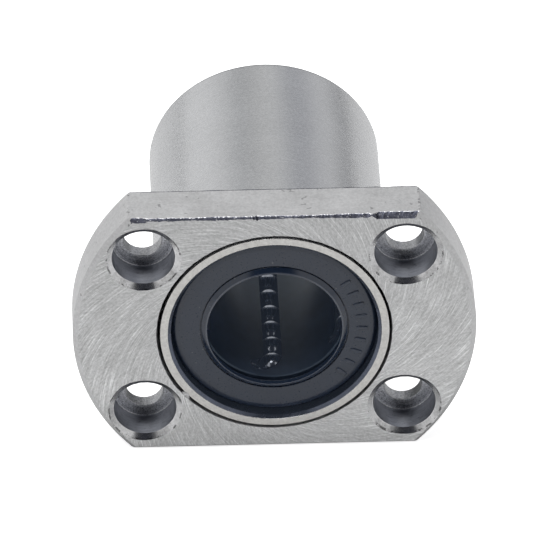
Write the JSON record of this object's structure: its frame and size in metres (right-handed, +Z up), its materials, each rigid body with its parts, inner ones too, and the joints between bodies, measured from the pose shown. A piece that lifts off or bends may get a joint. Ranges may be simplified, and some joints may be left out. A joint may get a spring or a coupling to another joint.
{
  "type": "flanged linear ball bushing",
  "caption": "Linear ball bushing with a two-side-cut mounting flange: a steel sleeve, a caged set of recirculating ball loops and a wiper seal at each end.",
  "frame": {"origin": "on the bore's axis, in the plane of the flange's mounting (rear) face", "axes": "+Y along the bore from the flange to the sleeve's free end, +Z up square to the flange's flats, +X to the right seen from the flange's front"},
  "size_m": [0.048, 0.037, 0.0336],
  "materials": {
    "machined_steel": "milled and brushed, fine fan-shaped scratches",
    "ground_steel": "cylindrically ground, polished",
    "ball_steel": "polished bearing steel",
    "cage_plastic": "moulded black resin",
    "seal_rubber": "matte dark grey rubber",
    "spring_steel": "dark spring steel"
  },
  "bodies": {
    "housing": {"flange": "machined_steel", "outer_sleeve": "ground_steel", "ball_cage": "cage_plastic", "front_seal": "seal_rubber", "rear_seal": "seal_rubber", "front_retaining_ring": "spring_steel", "rear_retaining_ring": "spring_steel"},
    "circuit_1_loaded_train": {"circuit_1_loaded_ball_1": "ball_steel", "circuit_1_loaded_ball_2": "ball_steel", "circuit_1_loaded_ball_3": "ball_steel", "circuit_1_loaded_ball_4": "ball_steel", "circuit_1_loaded_ball_5": "ball_steel", "circuit_1_loaded_ball_6": "ball_steel", "circuit_1_loaded_ball_7": "ball_steel"},
    "circuit_1_return_train": {"circuit_1_return_balls": "ball_steel"},
    "circuit_1_front_turn": {"circuit_1_front_turn_balls": "ball_steel"},
    "circuit_1_rear_turn": {"circuit_1_rear_turn_balls": "ball_steel"},
    "circuit_2_loaded_train": {"circuit_2_loaded_ball_1": "ball_steel", "circuit_2_loaded_ball_2": "ball_steel", "circuit_2_loaded_ball_3": "ball_steel", "circuit_2_loaded_ball_4": "ball_steel", "circuit_2_loaded_ball_5": "ball_steel", "circuit_2_loaded_ball_6": "ball_steel", "circuit_2_loaded_ball_7": "ball_steel"},
    "circuit_2_return_train": {"circuit_2_return_balls": "ball_steel"},
    "circuit_2_front_turn": {"circuit_2_front_turn_balls": "ball_steel"},
    "circuit_2_rear_turn": {"circuit_2_rear_turn_balls": "ball_steel"},
    "circuit_3_loaded_train": {"circuit_3_loaded_ball_1": "ball_steel", "circuit_3_loaded_ball_2": "ball_steel", "circuit_3_loaded_ball_3": "ball_steel", "circuit_3_loaded_ball_4": "ball_steel", "circuit_3_loaded_ball_5": "ball_steel", "circuit_3_loaded_ball_6": "ball_steel", "circuit_3_loaded_ball_7": "ball_steel"},
    "circuit_3_return_train": {"circuit_3_return_balls": "ball_steel"},
    "circuit_3_front_turn": {"circuit_3_front_turn_balls": "ball_steel"},
    "circuit_3_rear_turn": {"circuit_3_rear_turn_balls": "ball_steel"},
    "circuit_4_loaded_train": {"circuit_4_loaded_ball_1": "ball_steel", "circuit_4_loaded_ball_2": "ball_steel", "circuit_4_loaded_ball_3": "ball_steel", "circuit_4_loaded_ball_4": "ball_steel", "circuit_4_loaded_ball_5": "ball_steel", "circuit_4_loaded_ball_6": "ball_steel", "circuit_4_loaded_ball_7": "ball_steel"},
    "circuit_4_return_train": {"circuit_4_return_balls": "ball_steel"},
    "circuit_4_front_turn": {"circuit_4_front_turn_balls": "ball_steel"},
    "circuit_4_rear_turn": {"circuit_4_rear_turn_balls": "ball_steel"},
    "circuit_5_loaded_train": {"circuit_5_loaded_ball_1": "ball_steel", "circuit_5_loaded_ball_2": "ball_steel", "circuit_5_loaded_ball_3": "ball_steel", "circuit_5_loaded_ball_4": "ball_steel", "circuit_5_loaded_ball_5": "ball_steel", "circuit_5_loaded_ball_6": "ball_steel", "circuit_5_loaded_ball_7": "ball_steel"},
    "circuit_5_return_train": {"circuit_5_return_balls": "ball_steel"},
    "circuit_5_front_turn": {"circuit_5_front_turn_balls": "ball_steel"},
    "circuit_5_rear_turn": {"circuit_5_rear_turn_balls": "ball_steel"}
  },
  "joints": [
    {"name": "circuit_1_loaded_slide", "type": "slide", "parent": "housing", "child": "circuit_1_loaded_train", "axis": [0, 1, 0], "range_m": [-0.00275, 0.00051]},
    {"name": "circuit_1_return_slide", "type": "slide", "parent": "housing", "child": "circuit_1_return_train", "axis": [0, 1, 0], "range_m": [-0.00051, 0.00275]},
    {"name": "circuit_1_front_turn_hinge", "type": "hinge", "parent": "housing", "child": "circuit_1_front_turn", "pos_m": [-0.00234, 0.00112, -0.00959], "axis": [0, 0, 1], "range_deg": [-76.07, 14.03]},
    {"name": "circuit_1_rear_turn_hinge", "type": "hinge", "parent": "housing", "child": "circuit_1_rear_turn", "pos_m": [-0.00234, 0.02388, -0.00959], "axis": [0, 0, 1], "range_deg": [-76.07, 14.03]},
    {"name": "circuit_2_loaded_slide", "type": "slide", "parent": "housing", "child": "circuit_2_loaded_train", "axis": [0, 1, 0], "range_m": [-0.00112, 0.00213]},
    {"name": "circuit_2_return_slide", "type": "slide", "parent": "housing", "child": "circuit_2_return_train", "axis": [0, 1, 0], "range_m": [-0.00213, 0.00113]},
    {"name": "circuit_2_front_turn_hinge", "type": "hinge", "parent": "housing", "child": "circuit_2_front_turn", "pos_m": [-0.00985, 0.00112, -0.00074], "axis": [0.9511, 0, 0.309], "range_deg": [-31.2, 58.9]},
    {"name": "circuit_2_rear_turn_hinge", "type": "hinge", "parent": "housing", "child": "circuit_2_rear_turn", "pos_m": [-0.00985, 0.02388, -0.00074], "axis": [0.9511, 0, 0.309], "range_deg": [-31.2, 58.9]},
    {"name": "circuit_3_loaded_slide", "type": "slide", "parent": "housing", "child": "circuit_3_loaded_train", "axis": [0, 1, 0], "range_m": [-0.00282, 0.00042]},
    {"name": "circuit_3_return_slide", "type": "slide", "parent": "housing", "child": "circuit_3_return_train", "axis": [0, 1, 0], "range_m": [-0.00043, 0.00283]},
    {"name": "circuit_3_front_turn_hinge", "type": "hinge", "parent": "housing", "child": "circuit_3_front_turn", "pos_m": [-0.00375, 0.00112, 0.00913], "axis": [0.5878, 0, -0.809], "range_deg": [-78.28, 11.82]},
    {"name": "circuit_3_rear_turn_hinge", "type": "hinge", "parent": "housing", "child": "circuit_3_rear_turn", "pos_m": [-0.00375, 0.02388, 0.00913], "axis": [0.5878, 0, -0.809], "range_deg": [-78.28, 11.82]},
    {"name": "circuit_4_loaded_slide", "type": "slide", "parent": "housing", "child": "circuit_4_loaded_train", "axis": [0, 1, 0], "range_m": [-0.00052, 0.00272]},
    {"name": "circuit_4_return_slide", "type": "slide", "parent": "housing", "child": "circuit_4_return_train", "axis": [0, 1, 0], "range_m": [-0.00273, 0.00053]},
    {"name": "circuit_4_front_turn_hinge", "type": "hinge", "parent": "housing", "child": "circuit_4_front_turn", "pos_m": [0.00753, 0.00112, 0.00639], "axis": [-0.5878, 0, -0.809], "range_deg": [-14.59, 75.51]},
    {"name": "circuit_4_rear_turn_hinge", "type": "hinge", "parent": "housing", "child": "circuit_4_rear_turn", "pos_m": [0.00753, 0.02388, 0.00639], "axis": [-0.5878, 0, -0.809], "range_deg": [-14.59, 75.51]},
    {"name": "circuit_5_loaded_slide", "type": "slide", "parent": "housing", "child": "circuit_5_loaded_train", "axis": [0, 1, 0], "range_m": [-0.00193, 0.00133]},
    {"name": "circuit_5_return_slide", "type": "slide", "parent": "housing", "child": "circuit_5_return_train", "axis": [0, 1, 0], "range_m": [-0.00133, 0.00193]},
    {"name": "circuit_5_front_turn_hinge", "type": "hinge", "parent": "housing", "child": "circuit_5_front_turn", "pos_m": [0.0084, 0.00112, -0.00519], "axis": [-0.9511, 0, 0.309], "range_deg": [-53.36, 36.74]},
    {"name": "circuit_5_rear_turn_hinge", "type": "hinge", "parent": "housing", "child": "circuit_5_rear_turn", "pos_m": [0.0084, 0.02388, -0.00519], "axis": [-0.9511, 0, 0.309], "range_deg": [-53.36, 36.74]}
  ],
  "couplings": [
    {"joint": "circuit_1_return_slide", "follows": "circuit_1_loaded_slide", "ratio": -1},
    {"joint": "circuit_1_front_turn_hinge", "follows": "circuit_1_loaded_slide", "rad_per_m": 483.32},
    {"joint": "circuit_1_rear_turn_hinge", "follows": "circuit_1_loaded_slide", "rad_per_m": 483.32},
    {"joint": "circuit_2_return_slide", "follows": "circuit_2_loaded_slide", "ratio": -1},
    {"joint": "circuit_2_front_turn_hinge", "follows": "circuit_2_loaded_slide", "rad_per_m": 483.32},
    {"joint": "circuit_2_rear_turn_hinge", "follows": "circuit_2_loaded_slide", "rad_per_m": 483.32},
    {"joint": "circuit_3_return_slide", "follows": "circuit_3_loaded_slide", "ratio": -1},
    {"joint": "circuit_3_front_turn_hinge", "follows": "circuit_3_loaded_slide", "rad_per_m": 483.32},
    {"joint": "circuit_3_rear_turn_hinge", "follows": "circuit_3_loaded_slide", "rad_per_m": 483.32},
    {"joint": "circuit_4_return_slide", "follows": "circuit_4_loaded_slide", "ratio": -1},
    {"joint": "circuit_4_front_turn_hinge", "follows": "circuit_4_loaded_slide", "rad_per_m": 483.32},
    {"joint": "circuit_4_rear_turn_hinge", "follows": "circuit_4_loaded_slide", "rad_per_m": 483.32},
    {"joint": "circuit_5_return_slide", "follows": "circuit_5_loaded_slide", "ratio": -1},
    {"joint": "circuit_5_front_turn_hinge", "follows": "circuit_5_loaded_slide", "rad_per_m": 483.32},
    {"joint": "circuit_5_rear_turn_hinge", "follows": "circuit_5_loaded_slide", "rad_per_m": 483.32}
  ]
}
